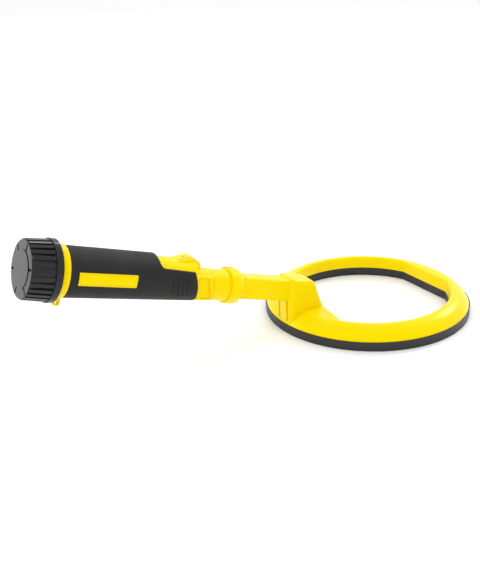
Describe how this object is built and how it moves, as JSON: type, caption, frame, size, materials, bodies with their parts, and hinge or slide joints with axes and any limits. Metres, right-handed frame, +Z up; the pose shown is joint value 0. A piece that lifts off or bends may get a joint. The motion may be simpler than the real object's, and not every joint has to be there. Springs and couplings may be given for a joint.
{
  "type": "hand-held metal detector",
  "caption": "Hand-held waterproof metal detector: sealed torch-shaped grip with buttons and battery cap, lock nut, and a round search coil on a short cranked arm.",
  "frame": {"origin": "under the middle of the overall length, in the plane of the coil's underside", "axes": "+X from the battery cap to the far edge of the coil, +Z up from the coil's underside, the plane y = 0 halves the object"},
  "size_m": [0.4454, 0.2, 0.1408],
  "materials": {
    "yellow_plastic": "moulded yellow plastic with a satin sheen",
    "black_plastic": "moulded black plastic, finely grained",
    "black_rubber": "soft matt black rubber",
    "grey_plastic": "plain grey plastic",
    "copper": "enamelled copper wire",
    "green_board": "glass-fibre circuit board with green resist",
    "chip_black": "moulded component bodies",
    "contact_metal": "gold-plated contact metal",
    "spring_steel": "bright spring steel",
    "cell_wrap": "shrink wrap on a steel can",
    "steel": "plain steel"
  },
  "bodies": {
    "housing": {"coil_socket": "black_plastic", "socket_pins": "contact_metal", "main_housing": "yellow_plastic", "control_cover": "yellow_plastic", "button_membrane": "black_rubber", "button_board": "green_board", "button_switches": "steel", "grip_sleeve": "black_rubber", "left_inset": "yellow_plastic", "right_inset": "yellow_plastic", "lanyard_collar": "yellow_plastic", "cap_seal": "black_rubber", "battery_cell": "cell_wrap", "battery_sleeve": "grey_plastic", "front_contact": "contact_metal", "main_board": "green_board", "board_chips": "chip_black", "vibration_motor": "steel", "sounder": "chip_black"},
    "coil": {"coil_shell": "yellow_plastic", "coil_base": "black_plastic", "coil_former": "grey_plastic", "coil_winding": "copper", "coil_cable": "black_rubber", "coil_plug": "black_plastic", "plug_contacts": "contact_metal", "plug_seal": "black_rubber"},
    "nut_slip": {"slip_washer": "grey_plastic"},
    "lock_nut": {"lock_nut": "yellow_plastic"},
    "cap_contact": {"contact_disc": "contact_metal", "contact_spring": "spring_steel"},
    "battery_cap": {"battery_cap": "black_plastic"},
    "power_button": {"power_button": "yellow_plastic"},
    "mode_button": {"mode_button": "yellow_plastic"},
    "motor_weight": {"motor_weight": "steel"}
  },
  "joints": [
    {"name": "power_press", "type": "slide", "parent": "housing", "child": "power_button", "axis": [-0.0143, 0, -0.9999], "range_m": [0, 0.0006], "stiffness_N_per_m": 1200, "springref_m": -0.0005},
    {"name": "mode_press", "type": "slide", "parent": "housing", "child": "mode_button", "axis": [-0.0143, 0, -0.9999], "range_m": [0, 0.0006], "stiffness_N_per_m": 1200, "springref_m": -0.0005},
    {"name": "cap_travel", "type": "slide", "parent": "housing", "child": "cap_contact", "axis": [-0.9607, 0, 0.2777], "range_m": [0, 0.0075]},
    {"name": "cap_turn", "type": "hinge", "parent": "cap_contact", "child": "battery_cap", "pos_m": [-0.19164, 0, 0.11074], "axis": [-0.9607, 0, 0.2777], "range_deg": [0, 900]},
    {"name": "coil_pull", "type": "slide", "parent": "housing", "child": "coil", "axis": [0.9607, 0, -0.2777], "range_m": [0, 0.04]},
    {"name": "nut_travel", "type": "slide", "parent": "coil", "child": "nut_slip", "axis": [0.9607, 0, -0.2777], "range_m": [0, 0.003]},
    {"name": "nut_turn", "type": "hinge", "parent": "nut_slip", "child": "lock_nut", "pos_m": [-0.0489, 0, 0.06438], "axis": [0.9607, 0, -0.2777], "range_deg": [0, 360]},
    {"name": "motor_spin", "type": "hinge", "parent": "housing", "child": "motor_weight", "pos_m": [-0.11644, 0, 0.0864], "axis": [0.9607, 0, -0.2777], "continuous": true}
  ],
  "couplings": [
    {"joint": "cap_travel", "follows": "cap_turn", "m_per_rad": 0.00047746},
    {"joint": "nut_travel", "follows": "nut_turn", "m_per_rad": 0.00047746}
  ]
}
